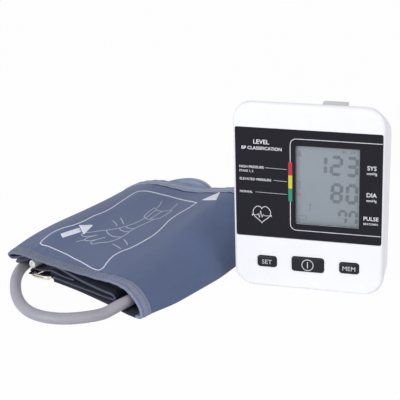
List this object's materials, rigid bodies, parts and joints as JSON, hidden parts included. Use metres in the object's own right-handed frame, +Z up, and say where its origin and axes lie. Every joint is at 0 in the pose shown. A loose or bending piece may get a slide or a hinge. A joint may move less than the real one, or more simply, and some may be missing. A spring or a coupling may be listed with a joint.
{
  "type": "blood pressure monitor",
  "caption": "Upright desk monitor with a display window, three front buttons and a battery bay, with its rolled arm cuff, metal ring, air hose and plug beside it.",
  "frame": {"origin": "middle of the monitor's flat standing face, on the table", "axes": "+Z up the standing monitor, -Y out of its display, +X to the right of someone who reads it"},
  "size_m": [0.274, 0.2157, 0.134],
  "materials": {
    "white_casing": "satin",
    "black_panel": "gloss",
    "clear_window": "gloss",
    "screen_glass": "satin",
    "inner_plastic": "matte",
    "grey_tab": "satin",
    "button_black": "satin",
    "board_green": "satin",
    "dark_component": "matte",
    "steel": "satin",
    "cell_skin": "printed sleeve, satin",
    "foot_rubber": "matte",
    "silicone": "satin",
    "cuff_cloth": "matte woven nylon",
    "binding_tape": "matte woven tape",
    "ring_wire": "polished",
    "hose_grey": "satin",
    "plug_white": "satin"
  },
  "bodies": {
    "monitor": {"front_casing": "white_casing", "rear_casing": "white_casing", "display_panel": "black_panel", "display_window": "clear_window", "lcd_holder": "inner_plastic", "lcd_glass": "screen_glass", "lcd_contact_strip": "silicone", "main_board": "board_green", "controller_chip": "dark_component", "buzzer": "dark_component", "pressure_sensor": "inner_plastic", "pump_motor": "steel", "pump_head": "inner_plastic", "release_valve": "dark_component", "air_socket": "inner_plastic", "air_tee": "inner_plastic", "pump_tube": "silicone", "socket_tube": "silicone", "valve_tube": "silicone", "sensor_tube": "silicone", "set_switch": "dark_component", "start_switch": "dark_component", "memory_switch": "dark_component", "battery_1": "cell_skin", "battery_2": "cell_skin", "battery_3": "cell_skin", "battery_4": "cell_skin", "contact_plate_low": "steel", "contact_plate_high": "steel", "casing_screw_1": "steel", "casing_screw_2": "steel", "casing_screw_3": "steel", "casing_screw_4": "steel", "rubber_foot_1": "foot_rubber", "rubber_foot_2": "foot_rubber", "rubber_foot_3": "foot_rubber"},
    "set_button": {"set_button": "button_black"},
    "start_button": {"start_button": "button_black"},
    "memory_button": {"memory_button": "button_black"},
    "battery_cover": {"battery_cover": "white_casing", "rubber_foot_4": "foot_rubber"},
    "cover_latch": {"cover_latch": "grey_tab"},
    "cuff": {"cuff_band": "cuff_cloth", "binding_near": "binding_tape", "binding_far": "binding_tape", "ring_loop": "cuff_cloth", "hose_port": "silicone", "air_hose": "hose_grey", "air_plug": "plug_white"},
    "ring": {"d_ring": "ring_wire"}
  },
  "joints": [
    {"name": "set_press", "type": "slide", "parent": "monitor", "child": "set_button", "axis": [0, 1, 0], "range_m": [0, 0.0008], "stiffness_N_per_m": 900},
    {"name": "start_press", "type": "slide", "parent": "monitor", "child": "start_button", "axis": [0, 1, 0], "range_m": [0, 0.0008], "stiffness_N_per_m": 900},
    {"name": "memory_press", "type": "slide", "parent": "monitor", "child": "memory_button", "axis": [0, 1, 0], "range_m": [0, 0.0008], "stiffness_N_per_m": 900},
    {"name": "latch_press", "type": "slide", "parent": "monitor", "child": "cover_latch", "axis": [0, 0, -1], "range_m": [0, 0.0012], "stiffness_N_per_m": 700},
    {"name": "battery_cover_off", "type": "slide", "parent": "monitor", "child": "battery_cover", "axis": [0, 0.9929, -0.1186], "range_m": [0, 0.04]},
    {"name": "cuff_lift", "type": "slide", "parent": "monitor", "child": "cuff", "axis": [0, 0, 1], "range_m": [0, 0.2]},
    {"name": "ring_swing", "type": "hinge", "parent": "cuff", "child": "ring", "pos_m": [-0.15442, 0.0251, 0.00308], "axis": [0.388, 0.9217, 0], "range_deg": [0, 2]}
  ]
}
